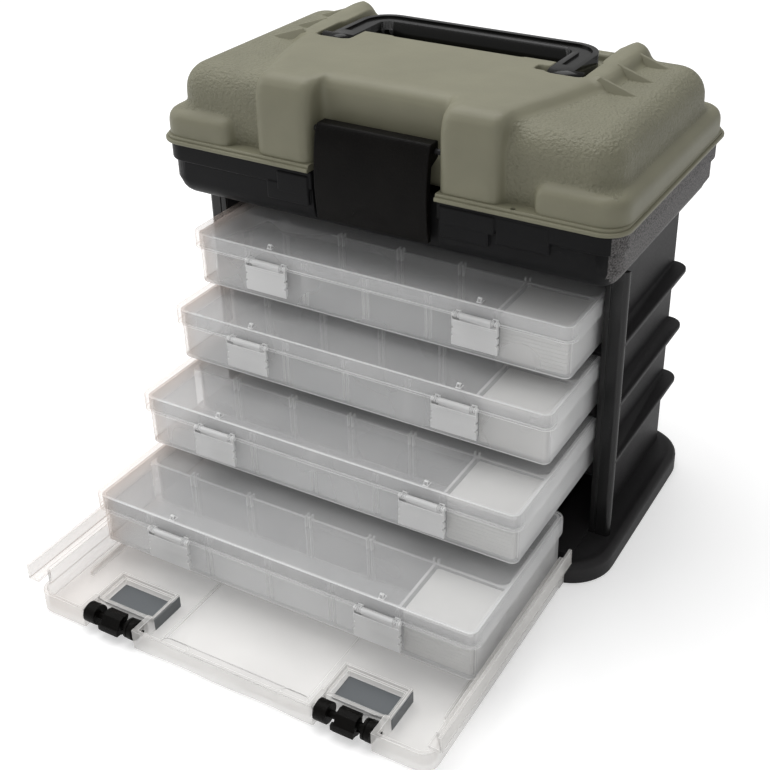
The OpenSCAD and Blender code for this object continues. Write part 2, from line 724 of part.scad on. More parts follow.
module tray(n) {
    y0 = box_set_in;
    y1 = box_d - 0.4;
    row_y = y0 + box_wall + front_row;
    cell_x = tray_w / 2 - box_wall - col_w;
    translate([0, box_front(n), tray_z(n)]) color([0.9, 0.9, 0.9, 0.5]) union() {
        difference() {
            slab(tray_w, y0, y1, 0, tray_h, box_corner);
            slab(tray_w - 2 * box_wall, y0 + box_wall, y1 - box_wall, box_wall, tray_h + weld, box_corner - box_wall);
        }
        // Row wall, and the wall that closes the front right compartment
        block([-tray_w / 2 + box_wall / 2, row_y, box_wall / 2], [tray_w / 2 - box_wall / 2, row_y + box_wall, row_wall_h]);
        block([cell_x - box_wall, y0 + box_wall / 2, box_wall / 2], [cell_x, row_y + weld, row_wall_h]);
        for (c = [1:box_cols - 1]) {
            x = -tray_w / 2 + box_wall + c * col_w;
            if (c < box_cols - 1) {
                rib_pair(x, y0 + box_wall / 2, y0 + box_wall + 1.2, row_wall_h);
                rib_pair(x, row_y - 1.2, row_y + weld / 2, tray_h - 0.6);
            }
            rib_pair(x, row_y + box_wall - weld / 2, row_y + box_wall + 1.2, tray_h - 0.6);
            rib_pair(x, y1 - box_wall - 1.2, y1 - box_wall / 2, row_wall_h);
        }
        // Ledges that the box latches snap under
        for (s = [-1, 1])
            block([s * box_latch_x - 8, y0 - 2.4, ledge_z], [s * box_latch_x + 8, y0 + box_wall / 2, ledge_z + 1.4]);
    }
}

latch_axis_z = box_h - box_rim_h + 2.2;
latch_axis_y = -1.9;
latch_knuckle_r = 1.5;
latch_foot_z = 7.4;
ledge_z = latch_foot_z + 2.6;

module box_lid(n) {
    rim_in = box_set_in - seat_gap;
    translate([0, box_front(n), tray_z(n)]) color([0.92, 0.92, 0.92, 0.45]) union() {
        difference() {
            slab(box_w, 0, box_d, box_h - box_rim_h, box_h, box_corner + box_set_in);
            slab(box_w - 2 * rim_in, rim_in, box_d + 4 * box_corner, box_h - box_rim_h - weld, box_h - box_lid_t,
                box_corner + box_set_in - rim_in);
        }
        // Ears that carry the hinge pins of the two latches, and the nubs behind them
        for (s = [-1, 1]) translate([s * box_latch_x, 0, 0]) {
            for (t = [-1, 1]) {
                x = t * (box_latch_w / 2 - 2.6);
                x_rod(x - 1.3, x + 1.3, latch_axis_y, latch_axis_z, latch_knuckle_r);
                block([x - 1.3, latch_axis_y, latch_axis_z - 0.9], [x + 1.3, 0.8, latch_axis_z + latch_knuckle_r]);
            }
            x_rod(-box_latch_w / 2 + 2, box_latch_w / 2 - 2, latch_axis_y, latch_axis_z, 0.6);
            block([-1.2, 2, box_h - 0.6], [1.2, 5, box_h + 2.4]);
        }
    }
}

module box_latch(n, side) {
    y1 = latch_axis_y + 0.9 - seat_gap;
    translate([side * box_latch_x, box_front(n), tray_z(n)]) color([0.92, 0.92, 0.92, 0.6]) difference() {
        union() {
            x_rod(-box_latch_w / 2, box_latch_w / 2, latch_axis_y, latch_axis_z, latch_knuckle_r);
            block([-box_latch_w / 2, y1 - box_latch_t, latch_foot_z], [box_latch_w / 2, y1, latch_axis_z]);
            // Grip ridges down the front
            for (k = [1:2])
                block([-box_latch_w / 2, y1 - box_latch_t - 0.7, latch_axis_z - 5 - 5 * k],
                    [box_latch_w / 2, y1, latch_axis_z - 3.8 - 5 * k]);
            // Toe that snaps under the ledge of the tray
            block([-6, y1 - weld, ledge_z - 1.8], [6, box_set_in - 1.4, ledge_z - seat_gap]);
        }
        x_rod(-box_latch_w, box_latch_w, latch_axis_y, latch_axis_z, 0.6 + pin_play);
        for (t = [-1, 1]) {
            x = t * (box_latch_w / 2 - 2.6);
            block([x - 1.6, latch_axis_y - 4, latch_axis_z - 2.2], [x + 1.6, latch_axis_y + 4, latch_axis_z + 4]);
        }
    }
}

// Spare dividers, stacked flat in the front right compartment
module dividers(n) {
    gap = 0.1;
    cell_x = tray_w / 2 - box_wall - col_w;
    count = floor((row_wall_h - box_wall - 1) / (divider_t + gap));
    translate([cell_x, box_front(n) + box_set_in + box_wall, tray_z(n) + box_wall])
        color([0.97, 0.96, 0.95]) for (k = [0:count - 1])
            block([0.6, 0.6, gap + k * (divider_t + gap)],
                [col_w - 1.6, front_row - 0.6, (k + 1) * (divider_t + gap)]);
}

foot();
side_panel_left();
side_panel_right();
back_panel();
tub();
rack_screws();
lid_shell();
lid_hinge_pins();
lid_latch();
lid_latch_pin();
carry_handle();
front_door();
door_hinge_pins();
door_latch_left();
door_latch_right();
for (n = [1:box_count]) {
    tray(n);
    box_lid(n);
    box_latch(n, -1);
    box_latch(n, 1);
    dividers(n);
}
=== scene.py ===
import math
import bpy
from mathutils import Matrix, Vector


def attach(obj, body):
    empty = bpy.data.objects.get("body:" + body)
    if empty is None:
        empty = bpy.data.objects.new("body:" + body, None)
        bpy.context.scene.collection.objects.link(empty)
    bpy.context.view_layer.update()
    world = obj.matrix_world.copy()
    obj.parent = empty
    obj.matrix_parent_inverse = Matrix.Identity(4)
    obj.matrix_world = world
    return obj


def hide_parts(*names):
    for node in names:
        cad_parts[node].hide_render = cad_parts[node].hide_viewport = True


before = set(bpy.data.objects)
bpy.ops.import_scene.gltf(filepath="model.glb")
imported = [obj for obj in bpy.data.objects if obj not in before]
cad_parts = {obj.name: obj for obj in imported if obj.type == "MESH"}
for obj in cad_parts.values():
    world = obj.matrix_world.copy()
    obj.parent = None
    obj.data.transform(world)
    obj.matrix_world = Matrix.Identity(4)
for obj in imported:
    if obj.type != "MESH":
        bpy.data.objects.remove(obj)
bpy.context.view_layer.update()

mm = 0.001

# ---- Camera and studio ----
# The camera stands to the right of the front and looks down at the cabinet, as in the photograph.
# The room is a white sweep, lit from above and from the left by wide soft lamps.
lens = bpy.data.cameras.new("view of the cabinet")
lens.sensor_width = 36
lens.lens = 58.16
lens.shift_x = -0.0918
lens.shift_y = -0.0873
eye = bpy.data.objects.new("camera", lens)
bpy.context.scene.collection.objects.link(eye)
eye.matrix_world = (Matrix.Translation((0.3068, -0.5594, 0.4533))
                    @ Matrix.Rotation(math.radians(27.79), 4, "Z")
                    @ Matrix.Rotation(math.radians(90 - 29.21), 4, "X")
                    @ Matrix.Rotation(math.radians(0.26), 4, "Z"))
bpy.context.scene.camera = eye
bpy.context.scene.view_settings.view_transform = "Standard"


def soft_lamp(name, at, size, power):
    # A wide lamp that faces the middle of the cabinet
    lamp = bpy.data.lights.new(name, "AREA")
    lamp.shape = "RECTANGLE"
    lamp.size, lamp.size_y = size
    lamp.energy = power
    holder = bpy.data.objects.new(name, lamp)
    bpy.context.scene.collection.objects.link(holder)
    aim = Vector((0, -0.06, 0.1)) - Vector(at)
    holder.matrix_world = Matrix.Translation(at) @ aim.to_track_quat("-Z", "Y").to_matrix().to_4x4()


soft_lamp("overhead softbox", (-0.35, 0.25, 1.5), (1.5, 1.2), 17)
soft_lamp("left softbox", (-1.5, -0.5, 0.9), (1.0, 1.0), 6)
soft_lamp("front fill", (0.6, -1.8, 0.9), (1.4, 1.0), 4)

room_glow = 0.42
sky = bpy.data.worlds.new("white room")
bpy.context.scene.world = sky
sky.use_nodes = True
glow = sky.node_tree.nodes["Background"]
glow.inputs["Color"].default_value = (1, 1, 1, 1)
glow.inputs["Strength"].default_value = room_glow


def white_sweep():
    # White paper that is lifted where it is looked at, so that it runs out into the white room
    paper = bpy.data.materials.new("white paper")
    paper.use_nodes = True
    nodes, link = paper.node_tree.nodes, paper.node_tree.links.new
    shader = nodes["Principled BSDF"]
    shader.inputs["Base Color"].default_value = (0.8, 0.8, 0.8, 1)
    shader.inputs["Roughness"].default_value = 0.9
    ray = nodes.new("ShaderNodeLightPath")
    most = nodes.new("ShaderNodeMath")
    most.operation = "MAXIMUM"
    link(ray.outputs["Is Camera Ray"], most.inputs[0])
    link(ray.outputs["Is Transmission Ray"], most.inputs[1])
    seen = nodes.new("ShaderNodeMath")
    seen.operation = "MAXIMUM"
    link(most.outputs[0], seen.inputs[0])
    link(ray.outputs["Is Glossy Ray"], seen.inputs[1])
    lift = nodes.new("ShaderNodeMath")
    lift.operation = "MULTIPLY"
    lift.inputs[1].default_value = room_glow
    link(seen.outputs[0], lift.inputs[0])
    shader.inputs["Emission Color"].default_value = (1, 1, 1, 1)
    link(lift.outputs[0], shader.inputs["Emission Strength"])
    return paper


bpy.ops.object.select_all(action="DESELECT")
bpy.ops.mesh.primitive_plane_add(size=12, location=(0, 2, -0.0004))
floor = bpy.context.object
floor.name = "floor"
bpy.ops.object.transform_apply(location=True)
floor.data.materials.append(white_sweep())

# ---- Foot ----
# A wide shallow tray of charcoal plastic that the whole cabinet stands on, with rounded corners
# and a low rim. It is one moulding, and the rack is seated in its dished top.


def let_go():
    # Leaves edit mode with nothing selected
    if bpy.context.mode != "OBJECT":
        bpy.ops.object.mode_set(mode="OBJECT")
    bpy.ops.object.select_all(action="DESELECT")


def take(piece):
    # Makes the piece the only selected and the active one
    let_go()
    piece.select_set(True)
    bpy.context.view_layer.objects.active = piece


def block(name, low, high):
    let_go()
    bpy.ops.mesh.primitive_cube_add(size=1, location=[(a + b) / 2 * mm for a, b in zip(low, high)],
                                    scale=[(b - a) * mm for a, b in zip(low, high)])
    piece = bpy.context.object
    piece.name = name
    bpy.ops.object.transform_apply(location=True, rotation=True, scale=True)
    return piece


def pick(piece, kind, test):
    # Enters edit mode with the edges or faces selected whose corners, in mm, all pass the test
    take(piece)
    bpy.context.tool_settings.mesh_select_mode = (False, kind == "edges", kind == "faces")
    bpy.ops.object.mode_set(mode="EDIT")
    bpy.ops.mesh.select_all(action="DESELECT")
    bpy.ops.object.mode_set(mode="OBJECT")
    mesh = piece.data
    for part in (mesh.edges if kind == "edges" else mesh.polygons):
        part.select = test([mesh.vertices[v].co / mm for v in part.vertices])
    bpy.ops.object.mode_set(mode="EDIT")


def round_edges(piece, radius, steps, test):
    pick(piece, "edges", test)
    bpy.ops.mesh.bevel(offset=radius * mm, segments=steps, affect="EDGES")
    bpy.ops.object.mode_set(mode="OBJECT")


def rounded_block(name, low, high, radius, steps):
    # A block with its four upright edges rounded
    piece = block(name, low, high)
    round_edges(piece, radius, steps, lambda ends: abs(ends[0].z - ends[1].z) > 0.01)
    return piece


def crown(piece, radius, steps, down=False):
    # Rounds the rim of the flat top, or of the flat underside, over by the radius
    heights = [v.co.z / mm for v in piece.data.vertices]
    level = min(heights) if down else max(heights)
    pick(piece, "faces", lambda ends: all(abs(p.z - level) < 0.01 for p in ends))
    for k in range(steps):
        a, b = (math.pi / 2 * t / steps for t in (k, k + 1))
        bpy.ops.mesh.inset(thickness=radius * mm * (math.cos(a) - math.cos(b)),
                           depth=radius * mm * (math.sin(b) - math.sin(a)))
    bpy.ops.object.mode_set(mode="OBJECT")
    return piece


def combine(whole, parts, how="UNION"):
    # Adds the parts to the whole one by one, or cuts them out of it, and uses them up
    for part in parts:
        take(whole)
        bpy.ops.object.modifier_add(type="BOOLEAN")
        step = whole.modifiers[-1]
        step.operation = how
        step.solver = "EXACT"
        step.object = part
        bpy.ops.object.modifier_apply(modifier=step.name)
        bpy.data.objects.remove(part)


def soften(piece, width, segments=3, angle=35):
    # Breaks the sharp edges of a moulding and shades it smooth
    take(piece)
    if width:
        bpy.ops.object.modifier_add(type="BEVEL")
        step = piece.modifiers[-1]
        step.width = width * mm
        step.segments = segments
        step.limit_method = "ANGLE"
        step.angle_limit = math.radians(angle)
        bpy.ops.object.modifier_apply(modifier=step.name)
    bpy.ops.object.shade_smooth_by_angle(angle=math.radians(38))
    return piece


def moulded(name, color, rough, mottle=0.12, grain=0.12, size=900, bump=0.00005, sheen=0.5):
    # Opaque moulded plastic: a faint mottle in the colour and a fine grain in the surface
    finish = bpy.data.materials.new(name)
    finish.use_nodes = True
    nodes, link = finish.node_tree.nodes, finish.node_tree.links.new
    shader = nodes["Principled BSDF"]
    shader.inputs["Specular IOR Level"].default_value = sheen
    place = nodes.new("ShaderNodeTexCoord")
    cloud = nodes.new("ShaderNodeTexNoise")
    cloud.inputs["Scale"].default_value = 45
    cloud.inputs["Detail"].default_value = 6
    link(place.outputs["Object"], cloud.inputs["Vector"])
    tint = nodes.new("ShaderNodeValToRGB")
    tint.color_ramp.elements[0].position = 0.3
    tint.color_ramp.elements[1].position = 0.7
    tint.color_ramp.elements[0].color = [c * (1 - mottle) for c in color] + [1]
    tint.color_ramp.elements[1].color = [c * (1 + mottle) for c in color] + [1]
    link(cloud.outputs["Fac"], tint.inputs["Fac"])
    link(tint.outputs["Color"], shader.inputs["Base Color"])
    pebble = nodes.new("ShaderNodeTexNoise")
    pebble.inputs["Scale"].default_value = size
    pebble.inputs["Detail"].default_value = 2
    link(place.outputs["Object"], pebble.inputs["Vector"])
    shine = nodes.new("ShaderNodeMapRange")
    shine.inputs["To Min"].default_value = rough - grain
    shine.inputs["To Max"].default_value = rough + grain
    link(pebble.outputs["Fac"], shine.inputs["Value"])
    link(shine.outputs["Result"], shader.inputs["Roughness"])
    relief = nodes.new("ShaderNodeBump")
    relief.inputs["Strength"].default_value = 1
    relief.inputs["Distance"].default_value = bump
    link(pebble.outputs["Fac"], relief.inputs["Height"])
    link(relief.outputs["Normal"], shader.inputs["Normal"])
    return finish


def finish_piece(piece, body, slot, *materials, stands_for=()):
    # Cleans the mesh, gives the finishes, and ties the piece to its body and hidden nodes; slot is not used
    take(piece)
    bpy.ops.object.mode_set(mode="EDIT")
    bpy.ops.mesh.select_all(action="SELECT")
    bpy.ops.mesh.remove_doubles(threshold=0.000005)
    bpy.ops.mesh.normals_make_consistent(inside=False)
    bpy.ops.object.mode_set(mode="OBJECT")
    # Large flat faces keep their own direction beside the rounded edges
    bpy.ops.object.modifier_add(type="WEIGHTED_NORMAL")
    piece.modifiers[-1].keep_sharp = True
    bpy.ops.object.modifier_apply(modifier=piece.modifiers[-1].name)
    if materials:
        piece.data.materials.clear()
    for material in materials:
        piece.data.materials.append(material)
    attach(piece, body)
    if stands_for:
        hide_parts(*stands_for)
    let_go()


charcoal = moulded("charcoal plastic", (0.026, 0.025, 0.026), 0.55, grain=0.08, bump=0.000018,
                   sheen=0.17)
foot = crown(rounded_block("wide_foot", (-135.9, -75.2, 0), (135.9, 75.2, 8.2), 26, 14), 3.4, 5)
pick(foot, "faces", lambda ends: all(abs(p.z - 11.6) < 0.05 for p in ends))
bpy.ops.mesh.inset(thickness=1.2 * mm, depth=0)
bpy.ops.mesh.inset(thickness=1.5 * mm, depth=-0.8 * mm)
bpy.ops.mesh.inset(thickness=3 * mm, depth=-0.3 * mm)
bpy.ops.object.mode_set(mode="OBJECT")
combine(foot, [block("runners", (-117, -66, 5), (117, 66.5, 11.9))])
combine(foot, [block("pan", (-97.4, -90, 3.2), (97.4, 66.4, 30)),
               block("left slot", (-117.7, -90, -5), (-105.4, -63.8, 30)),
               block("right slot", (105.4, -90, -5), (117.7, -63.8, 30))], "DIFFERENCE")
soften(foot, 0.5, 2)
finish_piece(foot, "cabinet", "charcoal", charcoal, stands_for=["foot"])

# ---- Sides and back of the rack ----
# Each side is one charcoal moulding: a panel with three broad shelves outside that end in round
# noses, and runners inside for the boxes. The back panel closes them. Screws hold all to the foot.
shelf_z = (131.6, 95.2, 58.8)
box_z = (12.2, 50.1, 88.0, 125.9)
inner, outer, rack_end, rack_z0, rack_z1 = 117, 119.4, 64.4, 9.5, 175.2


def to_the_left(piece):
    # Turns a piece made for the right into its mirror image
    take(piece)
    bpy.ops.transform.mirror(constraint_axis=(True, False, False), center_override=(0, 0, 0))
    bpy.ops.object.transform_apply(location=True, rotation=True, scale=True)


for side, name in ((1, "right"), (-1, "left")):
    panel = block("rack_side_" + name, (inner, -37.9, rack_z0), (outer, rack_end, rack_z1))
    combine(panel, [block("column", (inner, -38.7, rack_z0), (125, -31.4, rack_z1))])
    for z in shelf_z:
        shelf = block("shelf", (118.5, -38, z), (129, rack_end, z + 3))
        round_edges(shelf, 8, 8, lambda ends: all(p.x > 128.9 and p.y > 64.3 for p in ends))
        combine(panel, [soften(shelf, 0.9, 3)])
    for z in box_z[1:]:
        combine(panel, [block("runner", (108, -38, z - 2.7), (118, rack_end, z - 0.3))])
    soften(panel, 0.35, 2)
    if side < 0:
        to_the_left(panel)
    finish_piece(panel, "cabinet", "charcoal", charcoal, stands_for=["side_panel_" + name])
back = rounded_block("rack_back", (-outer, 40, rack_z0), (outer, 68.9, rack_z1), 4, 5)
combine(back, [rounded_block("inside", (-inner, 20, 0), (inner, 66.5, 190), 1.6, 3),
               block("front of it", (-140, 0, 0), (140, 64.5, 190))], "DIFFERENCE")
for z in shelf_z:
    combine(back, [soften(block("shelf", (-113, 68, z), (113, 71.4, z + 3)), 0.8, 2)])
soften(back, 0.3, 2)
finish_piece(back, "cabinet", "charcoal", charcoal, stands_for=["back_panel"])

# ---- Front posts ----
# The front edge of each side is a polished post: a flat face with a round outer edge and a shallow
# groove down it. The light runs along it in one long streak.
glossy = moulded("polished charcoal", (0.012, 0.012, 0.012), 0.25, grain=0.05, bump=0.000008,
                 sheen=0.3)
for side, name in ((1, "right"), (-1, "left")):
    post = block("front_post_" + name, (117.05, -39.7, 10.5), (128.95, -36.4, 175.1))
    round_edges(post, 2.8, 7, lambda ends: all(p.x > 128.9 and p.y < -39.6 for p in ends))
    combine(post, [block("groove", (120.2, -50, 0), (121.0, -38.9, 200))], "DIFFERENCE")
    soften(post, 0.35, 2)
    if side < 0:
        to_the_left(post)
    finish_piece(post, "cabinet", "charcoal", glossy)

# ---- Screws and hinge pins ----
# Plain steel screws and pins, which stay as they are in the frame. All have a brushed finish but
# the pin of the front latch, which is blackened.
steel = moulded("brushed steel", (0.48, 0.48, 0.49), 0.34, mottle=0.05, grain=0.08, bump=0.00001)
steel.node_tree.nodes["Principled BSDF"].inputs["Metallic"].default_value = 1
blackened = moulded("blackened steel", (0.02, 0.02, 0.02), 0.4, mottle=0.1, grain=0.08, bump=0.00001,
                    sheen=0.3)
for name in ("rack_screws", "lid_hinge_pins", "lid_latch_pin", "door_hinge_pins"):
    bpy.data.objects[name].data.materials.clear()
    bpy.data.objects[name].data.materials.append(blackened if name == "lid_latch_pin" else steel)

# ---- Tub ----
# The open bin under the lid is black plastic with a rounded bottom and a plain band under its rim.
# Stepped pads flank the latch, and the pebbled ends carry painted light speckles and a lighter painted tone
# for the glints of their pebbling, while the front is satin.
latch_gap, latch_wall = 37.1, 39.6
lid_hinge = (98.15, 206.3)


def rod(name, x0, x1, y, z, radius, sides=32):
    # A round bar from x0 to x1
    let_go()
    bpy.ops.mesh.primitive_cylinder_add(
        vertices=sides, radius=radius * mm, depth=(x1 - x0) * mm,
        location=((x0 + x1) / 2 * mm, y * mm, z * mm), rotation=(0, math.pi / 2, 0))
    piece = bpy.context.object
    piece.name = name
    bpy.ops.object.transform_apply(location=True, rotation=True, scale=True)
    return piece


satin = moulded("satin black", (0.0085, 0.0085, 0.009), 0.45, grain=0.08, bump=0.00006, sheen=0.09)
# The light speckles and lighter tone of the ends are painted glints of the pebbling in grazing light; the
# bump is real
glint_speckled = moulded("speckled black", (0.088, 0.083, 0.082), 0.62, mottle=0.8, grain=0.25, size=1400,
                   bump=0.00012, sheen=0.3)
glint_speckled.node_tree.nodes["Noise Texture"].inputs["Scale"].default_value = 1150
glint_speckled.node_tree.nodes["Noise Texture"].inputs["Detail"].default_value = 1
tub = crown(rounded_block("upper_tub", (-132.1, -66.8, 185), (132.1, 84.1, 197), 12, 8), 10, 6, down=True)
pick(tub, "faces", lambda ends: all(p.z < 184.9 for p in ends))
bpy.ops.transform.resize(value=(0.992, 0.975, 1), center_override=(0, -0.0575, 0.175))
bpy.ops.object.mode_set(mode="OBJECT")
band = rounded_block("band", (-133.6, -68.3, 195.5), (133.6, 85.6, 206), 12, 8)
combine(tub, [soften(band, 1.2, 3, angle=60)])
for low, high in (((38.5, -69, 187), (66, -58, 200)), ((38.5, -69.3, 194), (69, -58, 204)),
                  ((69.5, -68.6, 189.5), (98, -58, 204)), ((-65, -69, 186.5), (-38.5, -58, 197)),
                  ((-58, -69.3, 192), (-38.5, -58, 203.5))):
    combine(tub, [soften(block("pad", low, high), 1, 2)])
inside = crown(rounded_block("inside", (-129.6, -64.3, 187.6), (129.6, 81.6, 230), 9.5, 6), 10, 5,
               down=True)
pick(inside, "faces", lambda ends: all(p.z < 187.4 for p in ends))
bpy.ops.transform.resize(value=(0.992, 0.975, 1), center_override=(0, -0.055, 0.1776))
bpy.ops.object.mode_set(mode="OBJECT")
combine(inside, [block("wall behind the latch", (-latch_wall, -75, 170), (latch_wall, -61.2, 240))],
        "DIFFERENCE")
combine(tub, [inside, block("latch recess", (-latch_gap, -80, 174), (latch_gap, -64.4, 240))],
        "DIFFERENCE")
combine(tub, [block("latch bar", (-28, -65, 192.5), (28, -63, 195.4))])
for x in (-88.9, -65.1, 65.1, 88.9):
    knuckle = rod("knuckle", x - 5, x + 5, *lid_hinge, 4)
    combine(knuckle, [block("web", (x - 5, 84.5, 199.3), (x + 5, 98, 206))])
    combine(tub, [knuckle])
for x in (-77, 77):
    combine(tub, [rod("bore", x - 25, x + 25, *lid_hinge, 1.55, 24)], "DIFFERENCE")
soften(tub, 0.45, 2)
finish_piece(tub, "cabinet", "black_tub", satin, glint_speckled, stands_for=["tub"])
# Only the two ends of the tub get the painted glint speckles
for face in tub.data.polygons:
    face.material_index = int(abs(face.normal.x) > 0.55 and abs(face.center.x) > 0.127)

# ---- Lid ----
# One olive moulding on the tub: a crowned top with pebbled ends, a bumper roll round it, a smooth
# saddle that comes down in two legs beside the latch, two ears that guard the handle, and webs.


def outline(name, corners, thickness, across):
    # A flat outline drawn point by point, filled, and pulled out along the axis that across names
    let_go()
    bpy.ops.mesh.primitive_plane_add(size=1 * mm)
    piece = bpy.context.object
    piece.name = name
    bpy.ops.object.mode_set(mode="EDIT")
    bpy.ops.mesh.delete(type="VERT")
    bpy.ops.object.mode_set(mode="OBJECT")
    piece.data.vertices.add(len(corners))
    for vertex, (a, b) in zip(piece.data.vertices, corners):
        vertex.co = Vector({"x": (-thickness / 2, a, b), "y": (a, -thickness / 2, b),
                            "z": (a, b, -thickness / 2)}[across]) * mm
    piece.data.edges.add(len(corners))
    for k, edge in enumerate(piece.data.edges):
        edge.vertices = (k, (k + 1) % len(corners))
    bpy.ops.object.mode_set(mode="EDIT")
    bpy.ops.mesh.select_all(action="SELECT")
    bpy.ops.mesh.edge_face_add()
    pull = [thickness * mm if axis == across else 0 for axis in "xyz"]
    bpy.ops.mesh.extrude_region_move(TRANSFORM_OT_translate={"value": pull})
    bpy.ops.mesh.select_all(action="SELECT")
    bpy.ops.mesh.normals_make_consistent(inside=False)
    bpy.ops.object.mode_set(mode="OBJECT")
    return piece


def shift(piece, x, y, z):
    take(piece)
    bpy.ops.transform.translate(value=(x * mm, y * mm, z * mm))
    bpy.ops.object.transform_apply(location=True, rotation=True, scale=True)


lid = crown(rounded_block("lid_dome", (-127.3, -61.7, 206.6), (127.3, 79.3, 233), 16.5, 10), 15, 8)
combine(lid, [block("latch recess", (-latch_gap, -90, 190), (latch_gap, -53.75, 270))], "DIFFERENCE")
roll = crown(rounded_block("roll", (-133.9, -68.7, 206.6), (133.9, 88.8, 217.8), 13, 8), 6.5, 5)
combine(roll, [block("gap", (-88, -90, 200), (88, -58, 240))], "DIFFERENCE")
round_edges(roll, 4.5, 4, lambda ends: all(abs(abs(p.x) - 88) < 0.1 for p in ends))
# The saddle's low pad widens from the legs to the ears with a soft slope at its edge
half = [(70.4, -62.5), (73, -57.5), (76.5, -52), (78.3, -47), (81, -38), (85, -29), (88.5, -18),
        (91.5, -7), (93.6, 1), (94.6, 8), (94.8, 30), (94.8, 72.4)]
pad = outline("pad", half + [(-x, y) for x, y in reversed(half)], 8, "z")
shift(pad, 0, 0, 243)
pick(pad, "faces", lambda ends: all(p.z > 246.9 for p in ends))
for step_in, step_up in ((1.2, 0.25), (3, 2.2), (2.6, 2.4), (2.2, 1.25), (1.6, 0.4)):
    bpy.ops.mesh.inset(thickness=step_in * mm, depth=step_up * mm)
bpy.ops.object.mode_set(mode="OBJECT")
combine(pad, [block("latch recess", (-latch_gap, -90, 200), (latch_gap, -43, 270))], "DIFFERENCE")
leg_line = [(-69.2, 206.6), (-68.6, 240), (-66.9, 247.5), (-63.8, 251.6), (-59.5, 253.5),
            (-50, 253.5), (-42, 245), (-50, 206.6)]
ear_line = [(5.5, 240), (5.5, 252.4), (9, 253.8), (64, 256.3), (69, 255.6), (72.3, 252.6), (72.3, 240)]
leg_w, ear_w, ear_x = 33.9, 15.8, 86.8
forms = [roll, pad]


def leg_edge(ends):
    # The outer edges of a leg: those down its front, and those over its top
    on_side = all(abs(abs(p.x) - leg_w / 2) < 0.01 for p in ends)
    down_front = all(p.y < -45 and (p.z > 215 or p.y < -60) for p in ends)
    return on_side and (down_front or all(p.z > 250 for p in ends))


for side in (-1, 1):
    leg = outline("leg", leg_line, leg_w, "x")
    round_edges(leg, 5.5, 5, leg_edge)
    shift(leg, side * 54.05, 0, 0)
    forms.append(leg)
    ear = outline("ear", ear_line, ear_w, "x")
    shift(ear, side * ear_x, 0, 0)
    round_edges(ear, 7, 6, lambda ends: all(
        abs(abs(p.x - side * ear_x) - ear_w / 2) < 0.05 and p.z > 250 for p in ends))
    forms.append(ear)
bridge = outline("bridge", [(-53.75, 225), (-53.6, 246.5), (-52, 250.4), (-48.6, 252.8), (-44, 253.5),
                            (24, 253.5), (24, 225)], 84, "x")
forms.append(bridge)


def melt(piece, cell, passes):
    # Runs the overlapping forms into one skin, with the soft inner corners of a moulding
    take(piece)
    bpy.ops.object.modifier_add(type="REMESH")
    piece.modifiers[-1].mode = "VOXEL"
    piece.modifiers[-1].voxel_size = cell * mm
    bpy.ops.object.modifier_apply(modifier=piece.modifiers[-1].name)
    bpy.ops.object.modifier_add(type="SMOOTH")
    piece.modifiers[-1].factor = 0.5
    piece.modifiers[-1].iterations = passes
    bpy.ops.object.modifier_apply(modifier=piece.modifiers[-1].name)


take(lid)
for form in forms:
    form.select_set(True)
bpy.ops.object.join()
melt(lid, 1.5, 4)
combine(lid, [block("grip well", (-78.8, 24.5, 243.4), (78.8, 62.9, 290)),
              block("open rear", (-78.8, 60.4, 248.2), (78.8, 90, 290)),
              rounded_block("left arm slot", (-80.6, 6.2, 243.4), (-58.6, 36, 290), 4, 5),
              rounded_block("right arm slot", (58.6, 6.2, 243.4), (80.6, 36, 290), 4, 5),
              block("stop", (52, 8.5, 248.5), (61, 16, 290))], "DIFFERENCE")
bow = [(-57.2, 26), (-50, 24.4), (-38, 23.3), (-20, 22.8), (0, 22.6), (20, 22.8), (38, 23.3), (50, 24.4),
       (57.2, 26)]
pocket = outline("pocket", bow + [(57.2, 70.4), (-57.2, 70.4)], 60, "z")
shift(pocket, 0, 0, 262.4)
combine(lid, [pocket], "DIFFERENCE")
hollow = crown(rounded_block("hollow", (-124.8, -59.2, 195), (124.8, 76.8, 232), 14, 8), 13, 6)
combine(hollow, [block("recess wall", (-latch_wall, -80, 190), (latch_wall, -51.2, 260)),
                 block("well floor", (-95, 2.4, 240.9), (95, 73, 260)),
                 block("pocket floor", (-59.7, 16, 229.9), (59.7, 73, 260))], "DIFFERENCE")
combine(lid, [hollow], "DIFFERENCE")
melt(lid, 1.3, 2)
flange = rounded_block("flange", (-135.6, -71.5, 206.35), (135.6, 93.6, 208.5), 14, 10)
soften(flange, 0.7, 3, angle=60)
lip = rounded_block("lip", (-134.2, -70.1, 208), (134.2, 92.2, 210.2), 12.6, 10)
combine(flange, [soften(lip, 0.9, 3, angle=60)])
combine(flange, [rounded_block("opening", (-123, -57.5, 200), (123, 75, 220), 12, 6),
                 block("latch gap", (-latch_gap, -90, 200), (latch_gap, -53.75, 220))], "DIFFERENCE")
let_go()
bpy.ops.mesh.primitive_cylinder_add(vertices=24, radius=1.4 * mm, depth=20 * mm,
                                    location=(0.0785, -0.0682, 0.208))
combine(flange, [bpy.context.object], "DIFFERENCE")
webs = []
for side in (-1, 1):
    for y in (7.6, 31.8, 56.8):
        # A web is a sharp ridge that falls from the ear to the top and widens at its foot
        web = outline("web", [(84, 244), (84, 250), (89.5, 254.9), (91.5, 254.3), (113, 246.9),
                              (113, 244)], 9.5, "y")
        for vertex in web.data.vertices:
            if vertex.co.z > 0.2455:
                vertex.co.y *= 0.14
        soften(web, 0.5, 3, angle=30)
        shift(web, 0, y, 0)
        if side < 0:
            to_the_left(web)
        webs.append(web)
for x in (-77, 77):
    knuckle = rod("knuckle", x - 6.7, x + 6.7, *lid_hinge, 4)
    combine(knuckle, [block("tongue", (x - 6.7, 87, 206.7), (x + 6.7, 98, 209.6))])
    combine(flange, [knuckle])
    combine(flange, [rod("bore", x - 9, x + 9, *lid_hinge, 1.56, 20)], "DIFFERENCE")
soften(flange, 0)
take(lid)
bpy.ops.object.shade_smooth()
